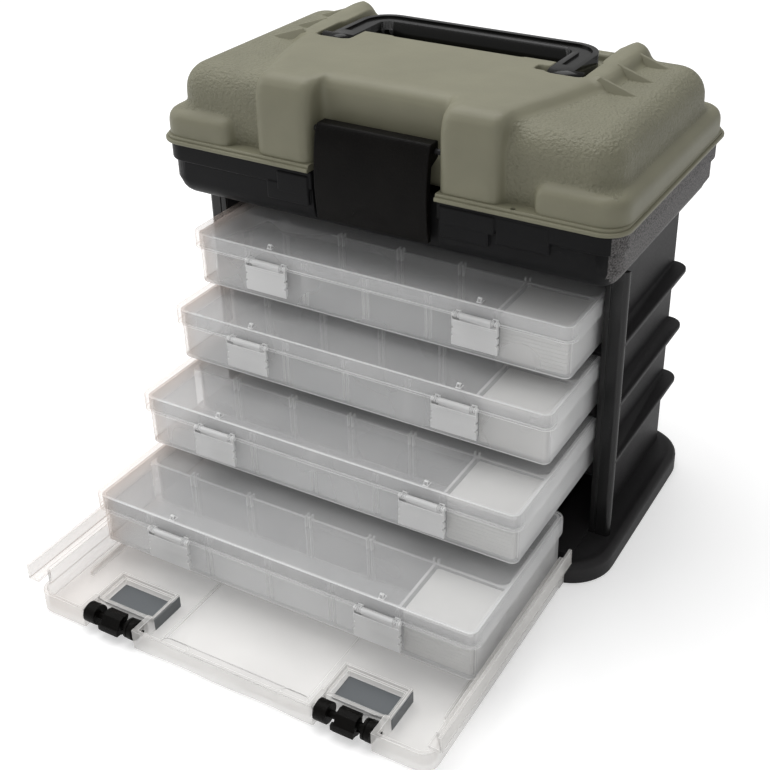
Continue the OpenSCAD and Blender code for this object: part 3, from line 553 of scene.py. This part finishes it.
for part in [flange] + webs:
    part.select_set(True)
bpy.ops.object.join()
smooth_olive = moulded("smooth olive", (0.205, 0.198, 0.138), 0.5, mottle=0.05, grain=0.06,
                       bump=0.00003, sheen=0.35)
pebbled_olive = moulded("pebbled olive", (0.192, 0.186, 0.129), 0.55, mottle=0.06, grain=0.15, size=640,
                        bump=0.0011, sheen=0.4)
finish_piece(lid, "lid", "olive", smooth_olive, pebbled_olive, stands_for=["lid_shell"])
# Only the ends of the crowned top are pebbled, beside the smooth saddle
for face in lid.data.polygons:
    x, y, z = face.center / mm
    on_end = 72 < abs(x) < 128.6 and -63 < y < 80.5 and z > 211.5
    low_part = z < 248.5 and not (abs(x) < 95.2 and y > 5 and z > 248.2)
    face.material_index = int(on_end and low_part)

# ---- Front latch of the lid ----
# A black plate that hangs from a pin between the legs of the saddle and covers the front of the
# tub. Its face is gently bowed and finely textured, and its lower edge has a finger scoop.
latch_black = moulded("textured black", (0.0042, 0.0037, 0.0032), 0.42, mottle=0.3, grain=0.15, size=1300,
                      bump=0.00022, sheen=0.07)
face_line = [(-65.6, 233.2), (-67.4, 231.4), (-68.9, 227), (-70.1, 221), (-71.1, 213), (-71.5, 204),
             (-71.4, 196), (-70.7, 188), (-69.4, 181.6)]
back_line = [(-66.4, 181.6), (-67.2, 188), (-67.4, 200), (-66.6, 213), (-65.4, 221.5), (-58.6, 224.4),
             (-58.6, 233.2)]
latch = outline("front_latch", face_line + back_line, 66, "x")
soften(latch, 0.7, 3, angle=40)
let_go()
bpy.ops.mesh.primitive_cylinder_add(vertices=64, radius=13 * mm, depth=8 * mm,
                                    location=(0, -0.0745, 0.1815), rotation=(math.pi / 2, 0, 0))
bpy.ops.object.transform_apply(location=True, rotation=True, scale=True)
combine(latch, [bpy.context.object], "DIFFERENCE")
for x in (-22, 22):
    combine(latch, [block("rib", (x - 1, -67.6, 188), (x + 1, -66.95, 216))])
combine(latch, [rod("bore", -40, 40, -61.25, 228.3, 1.56, 20)], "DIFFERENCE")
soften(latch, 0)
finish_piece(latch, "lid_latch", "black_latch", latch_black, stands_for=["lid_latch"])

# ---- Carry handle ----
# A bail of polished black plastic with round corners, a raised rim round its top face and stubs
# at both ends that turn in the ears of the lid.
gloss_black = moulded("polished black", (0.005, 0.005, 0.0045), 0.2, mottle=0.1, grain=0.04,
                      bump=0.000006, sheen=0.25)
handle_axis = (12.45, 248.8)
bail = rounded_block("carry_bail", (-73, -40, 243.8), (73, 60.4, 253.8), 18, 12)
combine(bail, [rounded_block("inner", (-59.4, -60, 230), (59.4, 46.4, 270), 6, 6),
               block("front half", (-90, -70, 230), (90, 12.4, 270))], "DIFFERENCE")
combine(bail, [rod("left eye", -78.2, -59.4, *handle_axis, 5), rod("right eye", 59.4, 78.2, *handle_axis, 5)])
soften(bail, 1.6, 4, angle=50)
groove = rounded_block("groove", (-69.8, -60, 252.7), (69.8, 57.2, 270), 14.8, 10)
combine(groove, [rounded_block("core", (-62.8, -90, 240), (62.8, 49.8, 280), 8, 6),
                 block("front half", (-90, -100, 240), (90, 20, 290))], "DIFFERENCE")
combine(bail, [groove, block("channel", (-57, 49.6, 240), (57, 57.2, 249.6))], "DIFFERENCE")
combine(bail, [soften(block("grip", (-55.5, 46.6, 238.6), (55.5, 59.4, 247)), 1.6, 3, angle=60),
               soften(block("stop", (53, 9.6, 244.6), (62, 15, 250.6)), 0.8, 2, angle=60)])
combine(bail, [rod("left stub", -83.6, -76, *handle_axis, 3), rod("right stub", 76, 83.6, *handle_axis, 3)])
soften(bail, 0)
finish_piece(bail, "carry_handle", "black_gloss", gloss_black, stands_for=["carry_handle"])

# ---- Door ----
# A clear moulded dish that closes the front of the rack, here lying open on the floor. Its sides
# step out to a lip, its front wall has a notch for each roller latch, and two lugs hinge it.


def clear_plastic(name, color, facing, grazing, rough=0.2, warm_light=(0.98, 0.9, 0.86), warm_light_from=0.099):
    # Milky clear plastic: thin where it is looked through, dense at its rims, with a painted warm light on
    # its left end
    finish = bpy.data.materials.new(name)
    finish.use_nodes = True
    nodes, link = finish.node_tree.nodes, finish.node_tree.links.new
    shader = nodes["Principled BSDF"]
    shader.inputs["Roughness"].default_value = rough
    shader.inputs["IOR"].default_value = 1.49
    place = nodes.new("ShaderNodeTexCoord")
    cloud = nodes.new("ShaderNodeTexNoise")
    cloud.inputs["Scale"].default_value = 26
    cloud.inputs["Detail"].default_value = 1
    link(place.outputs["Object"], cloud.inputs["Vector"])
    tint = nodes.new("ShaderNodeValToRGB")
    tint.color_ramp.elements[0].position = 0.25
    tint.color_ramp.elements[1].position = 0.75
    tint.color_ramp.elements[0].color = [c * 0.94 for c in color] + [1]
    tint.color_ramp.elements[1].color = [min(c * 1.05, 1) for c in color] + [1]
    link(cloud.outputs["Fac"], tint.inputs["Fac"])
    axes = nodes.new("ShaderNodeSeparateXYZ")
    link(place.outputs["Object"], axes.inputs["Vector"])
    # The warm tint towards the left end is painted warm light, not a tint of the plastic
    sideways = nodes.new("ShaderNodeMath")
    sideways.operation = "MULTIPLY"
    sideways.inputs[1].default_value = -1
    link(axes.outputs["X"], sideways.inputs[0])
    ends = nodes.new("ShaderNodeMapRange")
    ends.interpolation_type = "SMOOTHSTEP"
    ends.inputs["From Min"].default_value = warm_light_from
    ends.inputs["From Max"].default_value = 0.114
    link(sideways.outputs["Value"], ends.inputs["Value"])
    painted_warm_light = nodes.new("ShaderNodeMix")
    painted_warm_light.data_type = "RGBA"
    painted_warm_light.blend_type = "MULTIPLY"
    painted_warm_light.inputs["B"].default_value = warm_light + (1,)
    link(ends.outputs["Result"], painted_warm_light.inputs["Factor"])
    link(tint.outputs["Color"], painted_warm_light.inputs["A"])
    link(painted_warm_light.outputs["Result"], shader.inputs["Base Color"])
    rim = nodes.new("ShaderNodeLayerWeight")
    rim.inputs["Blend"].default_value = 0.5
    density = nodes.new("ShaderNodeMapRange")
    density.interpolation_type = "SMOOTHSTEP"
    density.inputs["From Min"].default_value = 0.42
    density.inputs["From Max"].default_value = 1
    density.inputs["To Min"].default_value = facing
    density.inputs["To Max"].default_value = grazing
    link(rim.outputs["Facing"], density.inputs["Value"])
    link(density.outputs["Result"], shader.inputs["Alpha"])
    relief = nodes.new("ShaderNodeBump")
    relief.inputs["Strength"].default_value = 1
    relief.inputs["Distance"].default_value = 0.00003
    link(cloud.outputs["Fac"], relief.inputs["Height"])
    link(relief.outputs["Normal"], shader.inputs["Normal"])
    return finish


def clear_edges(piece, width, *materials):
    # Rounds the sharp edges and gives them the second finish: denser plastic that is also whiter, a painted
    # highlight along the rims
    for material in materials:
        piece.data.materials.append(material)
    take(piece)
    bpy.ops.object.modifier_add(type="BEVEL")
    step = piece.modifiers[-1]
    step.width = width * mm
    step.segments = 2
    step.limit_method = "ANGLE"
    step.angle_limit = math.radians(40)
    step.use_clamp_overlap = False
    step.material = 1
    bpy.ops.object.modifier_apply(modifier=step.name)
    bpy.ops.object.shade_smooth_by_angle(angle=math.radians(40))


def gather(name, parts):
    # Joins the parts into one object without cutting them
    take(parts[0])
    for part in parts[1:]:
        part.select_set(True)
    bpy.ops.object.join()
    parts[0].name = name
    return parts[0]


# The left part of the door gets a faint painted warm light
door_clear = clear_plastic("clear door", (0.90, 0.88, 0.855), 0.32, 0.72, warm_light=(1, 0.96, 0.94),
                           warm_light_from=0.06)
# The rim finish is denser plastic with a painted highlight along the rims
door_rim_highlight = clear_plastic("clear door rim", (0.93, 0.92, 0.90), 0.6, 0.85, warm_light=(1, 0.96, 0.94),
                         warm_light_from=0.06)
front, rear = -221.8, -76.3
roller_x, roller_axis, door_hinge = 70, (-217.35, 8), (-68.55, 4.2)
door = rounded_block("clear_door", (-117.4, front, 0.32), (117.4, rear + 24, 12), 8, 8)
combine(door, [rounded_block("dish", (-115.4, front + 2, 2.4), (115.4, rear + 32, 30), 6, 8)], "DIFFERENCE")
for side in (-1, 1):
    for low, high, y0, z0, z1 in ((115.4, 117.4, 9, 9, 19), (115.5, 122.35, 0.8, 17, 19),
                                  (120.6, 122.35, 0.8, 17.5, 26.4)):
        x = sorted((side * low, side * high))
        combine(door, [block("side", (x[0], front + y0, z0), (x[1], rear, z1))])
for side in (-1, 1):
    middle = sorted((side * 106.1, side * 117.3))
    x0, x1 = side * roller_x - 15.9, side * roller_x + 15.9
    combine(door, [block("frame", (x0 - 3, front + 11.5, 1), (x1 + 3, front + 34, 10.4)),
                   block("left cheek", (x0 - 3, front + 0.1, 0.5), (x0, front + 13, 12)),
                   block("right cheek", (x1, front + 0.1, 0.5), (x1 + 3, front + 13, 12)),
                   rod("knuckle", *middle, *door_hinge, 4),
                   block("lug", (middle[0], rear - 3, 0.3), (middle[1], -68.6, 7.6))])
combine(door, [block("behind", (-106, rear, -5), (106, 0, 40)),
               block("far behind", (-140, -64.4, -5), (140, 0, 40)),
               block("left corner", (-140, rear, -5), (-117.4, 0, 40)),
               block("right corner", (117.4, rear, -5), (140, 0, 40))], "DIFFERENCE")
cuts = [rounded_block("panel step", (-44.2, front + 7.8, 2.05), (44.2, rear - 28.8, 9), 6.2, 5),
        rounded_block("middle panel", (-43, front + 9, 1.5), (43, rear - 30, 9), 5, 5)]
for side in (-1, 1):
    x = side * roller_x
    cuts += [block("notch", (x - 15.9, front - 5, -5), (x + 15.9, front + 11.6, 40)),
             block("window", (x - 14, front + 19.5, -5), (x + 14, front + 30, 40)),
             block("window step", (x - 15.6, front + 15, 4.2), (x + 15.6, front + 31.6, 40)),
             block("top step", (x - 17.4, front + 13.8, 8.2), (x + 17.4, front + 32.8, 40)),
             rod("latch bore", x - 20, x + 20, *roller_axis, 1.7, 20),
             rod("hinge bore", side * 112 - 8, side * 112 + 8, *door_hinge, 1.6, 20),
             rounded_block("finger dish", (side * 36 - 8, front + 4.4, 1.3),
                           (side * 36 + 8, front + 13, 9), 3.4, 6)]
    for y in (-150, -128, -106):
        cuts.append(block("slot", (side * 119 - 1, y, 16), (side * 119 + 1, y + 9, 20)))
for cut in cuts:
    combine(door, [cut], "DIFFERENCE")
for side in (-1, 1):
    # The rails stay low enough to pass under the bottom box when the door lifts
    rail = outline("rail", [(front + 30, 2), (front + 30, 5.4), (front + 32, 6.3), (front + 88, 6.3),
                            (front + 90.5, 5.2), (front + 90.5, 2)], 1.3, "x")
    shift(rail, side * 108.6, 0, 0)
    combine(door, [rail, block("cross rib", (side * 94 - 14.5, front + 60, 2),
                               (side * 94 + 14.5, front + 61.1, 4.2))])
for x in (-25, 25):
    # Two shallow waves in the lower edge of the front wall
    let_go()
    bpy.ops.mesh.primitive_cylinder_add(vertices=256, radius=0.2, depth=0.006, location=(
        x * mm, (front + 1) * mm, -0.1989), rotation=(math.pi / 2, 0, 0))
    wave = bpy.context.object
    bpy.ops.object.transform_apply(location=True, rotation=True, scale=True)
    combine(door, [wave], "DIFFERENCE")
clear_edges(door, 0.3, door_clear, door_rim_highlight)
finish_piece(door, "front_door", "clear_door", stands_for=["front_door"])

# ---- Painted shadow in the door windows ----
# A dark grey plate in the window behind each roller latch, with a thin strip of the same on the right
# of the frame: painted shadow for the floor seen in shade through the window. Both are pressed into the door
# from above.
shadow_grey = clear_plastic("smoky pane", (0.13, 0.142, 0.152), 0.93, 0.96, rough=0.35, warm_light=(1, 1, 1))
for side, name in ((1, "right"), (-1, "left")):
    x = side * roller_x
    shadow_plate = rounded_block("door_window_shadow_" + name, (x - 15.4, front + 15.4, 4.2),
                         (x + 15.4, front + 31.4, 4.9), 0.6, 2)
    shadow_strip = block("shadow_strip", (x + 18.95, front + 13.4, 2.6), (x + 19.5, front + 33.4, 9.2))
    shadow_plate = gather(shadow_plate.name, [soften(shadow_plate, 0.25, 2), soften(shadow_strip, 0.2, 2)])
    finish_piece(shadow_plate, "front_door", "clear_door", shadow_grey)

# ---- Roller latches of the door ----
# Each is one black moulding that turns on its own stub pins: a ring at each end, a thin waist beside
# each of them, and a sloping thumb tab between.
roller = rod("roller", -15.4, 15.4, *roller_axis, 1.9, 24)
for a, b, r in ((-15.4, -8.8, 5.35), (10.4, 11.9, 5.2), (11.8, 12.8, 4.8), (12.7, 15.4, 5.35)):
    combine(roller, [rod("ring", a, b, *roller_axis, r, 40)])
tab = outline("tab", [(-213.2, 12.0), (-216.4, 13.1), (-219.4, 12.2), (-223.3, 6.6), (-223.3, 4.4),
                      (-221.6, 4.2), (-218.3, 8.6), (-214, 9.6)], 11, "x")
shift(tab, 1.4, 0, 0)
bar = outline("bar", [(-223.2, 7.6), (-223.2, 4.5), (-221, 4.3), (-218.6, 2.9), (-216.6, 3.0),
                      (-218.8, 5.2), (-221.2, 8.0)], 12.5, "x")
shift(bar, 0.8, 0, 0)
combine(roller, [tab, bar, block("key", (-5, -217.3, 3.2), (7.6, -215.2, 11)),
                 rod("left stub", -18.8, -15, *roller_axis, 1.5, 20),
                 rod("right stub", 15, 18.8, *roller_axis, 1.5, 20)])
soften(roller, 0.35, 2)
for side, name in ((1, "right"), (-1, "left")):
    take(roller)
    bpy.ops.object.duplicate()
    piece = bpy.context.object
    piece.name = "roller_latch_" + name
    shift(piece, side * roller_x, 0, 0)
    finish_piece(piece, "door_latch_" + name, "black_latch", latch_black,
                 stands_for=["door_latch_" + name])
bpy.data.objects.remove(roller)

# ---- Utility boxes ----
# Four loose boxes of milky clear plastic, all alike: a tray with a row wall and slotted ribs for
# dividers, a hinged lid with a deep rim, two snap clips in front and a stack of spare dividers.
# The left ends of the boxes and their lids get a pinkish painted warm light
box_clear = clear_plastic("clear box", (0.96, 0.965, 0.97), 0.27, 0.64, warm_light=(0.97, 0.84, 0.76))
# The rim finish is denser plastic with a painted highlight along the rims
box_rim_highlight = clear_plastic("clear box rim", (0.98, 0.98, 0.98), 0.66, 0.88)
lid_clear = clear_plastic("clear box lid", (0.96, 0.965, 0.97), 0.22, 0.62, rough=0.26,
                          warm_light=(0.97, 0.84, 0.76))
floor_clear = clear_plastic("clear box floor", (0.97, 0.975, 0.98), 0.75, 0.85)
tray = crown(rounded_block("tray", (-113.4, 2.6, 1.2), (113.4, 104.6, 30), 4, 6), 1.2, 3, down=True)
combine(tray, [rounded_block("inside", (-111.9, 4.1, 1.5), (111.9, 103.1, 40), 2.5, 5)], "DIFFERENCE")
row = block("row wall", (-112.5, 41.6, 1), (112.5, 43.1, 27))
cell = block("cell wall", (70.4, 3.4, 1), (71.9, 42, 27))
first_column, pitch, slot_half = 71, 38, 1.3
rib_rows = ((3.4, 5.4, 27), (40.3, 42, 29), (42.8, 44.5, 29), (101.8, 103.6, 27))
ribs = []
for k in range(5):
    column = first_column - pitch * k
    for x in (column - slot_half, column + slot_half):
        # The first column has no ribs in the front row, where the cell wall stands
        for y0, y1, top in rib_rows[0 if k else 2:]:
            ribs.append(block("rib", (x - 0.5, y0, 1), (x + 0.5, y1, top)))
for side in (-1, 1):
    x = sorted((side * 106, side * 112.5))
    curve = block("curve", (x[0], 42.5, 1), (x[1], 49.6, 27))
    let_go()
    bpy.ops.mesh.primitive_cylinder_add(vertices=48, radius=6.2 * mm, depth=40 * mm, location=(
        side * 0.1055, 0.0494, 0.02))
    combine(curve, [bpy.context.object], "DIFFERENCE")
    ribs.append(curve)
combine(tray, [row, cell])
combine(tray, [gather("ribs", ribs)])
combine(tray, [block("left ledge", (-71.5, 0.3, 10), (-55.5, 3, 11.3)),
               block("right ledge", (55.5, 0.3, 10), (71.5, 3, 11.3))])
clear_edges(tray, 0.28, box_clear, box_rim_highlight)
tray.data.materials.append(floor_clear)
for face in tray.data.polygons:
    x, y, z = face.center / mm
    # The ribs, the corner curves and the tops of the walls get the dense rim finish with its painted
    # highlight, and the floor the milky one
    off_column = (first_column - x + pitch / 2) % pitch - pitch / 2
    on_row = y < 5.5 or 40 < y < 44.6 or y > 101.7
    on_rib = z > 4 and x < 100 and abs(abs(off_column) - slot_half) < 0.75 and on_row
    on_curve = z > 4 and 105.5 < abs(x) < 112 and 43.3 < y < 50
    on_top = z > 26.5 and face.normal.z > 0.8
    if on_rib or on_curve or on_top:
        face.material_index = 1
    elif z < 2:
        face.material_index = 2
cover = crown(rounded_block("cover", (-116, 0.05, 22.1), (116, 104.95, 30.9), 6.6, 8), 1.2, 3)
combine(cover, [rounded_block("inside", (-113.7, 2.3, 10), (113.7, 130, 30.3), 4.3, 6)], "DIFFERENCE")
clip_x, clip_axis = 63.5, (-1.9, 24.3)
for x in (-clip_x, clip_x):
    for t in (-10.4, 10.4):
        combine(cover, [block("arm", (x + t - 1.2, -1.9, 23.5), (x + t + 1.2, 0.8, 25.7))])
        combine(cover, [rod("ear", x + t - 1.25, x + t + 1.25, *clip_axis, 1.45, 20)])
    combine(cover, [rod("pin", x - 11, x + 11, *clip_axis, 0.6, 16)])
    nub = outline("nub", [(1.8, 31.5), (1.8, 33.3), (2.5, 34.4), (3.6, 34.5), (4.2, 33.4), (5.2, 31.5)],
                  2.4, "x")
    shift(nub, x, 0, 0)
    combine(cover, [nub])
clear_edges(cover, 0.4, lid_clear, box_rim_highlight)
frosted = clear_plastic("frosted clip", (0.90, 0.90, 0.90), 0.55, 0.8, rough=0.35)
clip = outline("clip", [(-3.05, 24.6), (-3.2, 20), (-3.1, 14.8), (-3.55, 13.9), (-3.6, 9.4), (-3.45, 7.4),
                        (-2.5, 7.4), (-1.9, 8.6), (-1.35, 10.5), (-1.35, 24.3)], 26, "x")
combine(clip, [rod("knuckle", -13, 13, *clip_axis, 1.5, 24)])
combine(clip, [block("toe", (-6, -1.5, 8.2), (6, 1.2, 9.7)),
               block("step", (-13, -3.4, 20.6), (13, -1.5, 21.8))])
for x in (-10.4, 10.4):
    combine(clip, [block("ear gap", (x - 1.6, -6, 22.1), (x + 1.6, 2.3, 28))], "DIFFERENCE")
for x in (-13, 13):
    for z in (12.2, 16.4):
        combine(clip, [block("side notch", (x - 0.9, -6, z), (x + 0.9, 2, z + 1.4))], "DIFFERENCE")
combine(clip, [rod("bore", -20, 20, *clip_axis, 0.85, 16)], "DIFFERENCE")
clear_edges(clip, 0.22, frosted, box_rim_highlight)
milky = moulded("milky divider", (0.78, 0.77, 0.75), 0.4, mottle=0.03, grain=0.06, bump=0.00002)
sheets = []
for z in [1.65 + 2.2 * k for k in range(11)]:
    sheets.append(rounded_block("sheet", (73.4, 4.9, z), (110.9, 40.9, z + 2.1), 1.5, 3))
stack = soften(gather("stack", sheets), 0.2, 2)
for n, y, z in zip((1, 2, 3, 4), (-74.75, -96.75, -130.75, -175.25), reversed(box_z)):
    body, node = f"box_{n}", f"box_{n}_"
    for pattern, name, slot, carried, x, materials in (
            (tray, "tray", "clear_box", body, 0, ()), (cover, "lid", "clear_box", body, 0, ()),
            (stack, "dividers", "white_divider", body, 0, (milky,)),
            (clip, "latch_left", "frosted_latch", node + "latch_left", -clip_x, ()),
            (clip, "latch_right", "frosted_latch", node + "latch_right", clip_x, ())):
        take(pattern)
        bpy.ops.object.duplicate()
        piece = bpy.context.object
        piece.name = f"utility_box_{n}_" + name
        shift(piece, x, y, z)
        finish_piece(piece, carried, slot, *materials, stands_for=[node + name])
for pattern in (tray, cover, clip, stack):
    bpy.data.objects.remove(pattern)
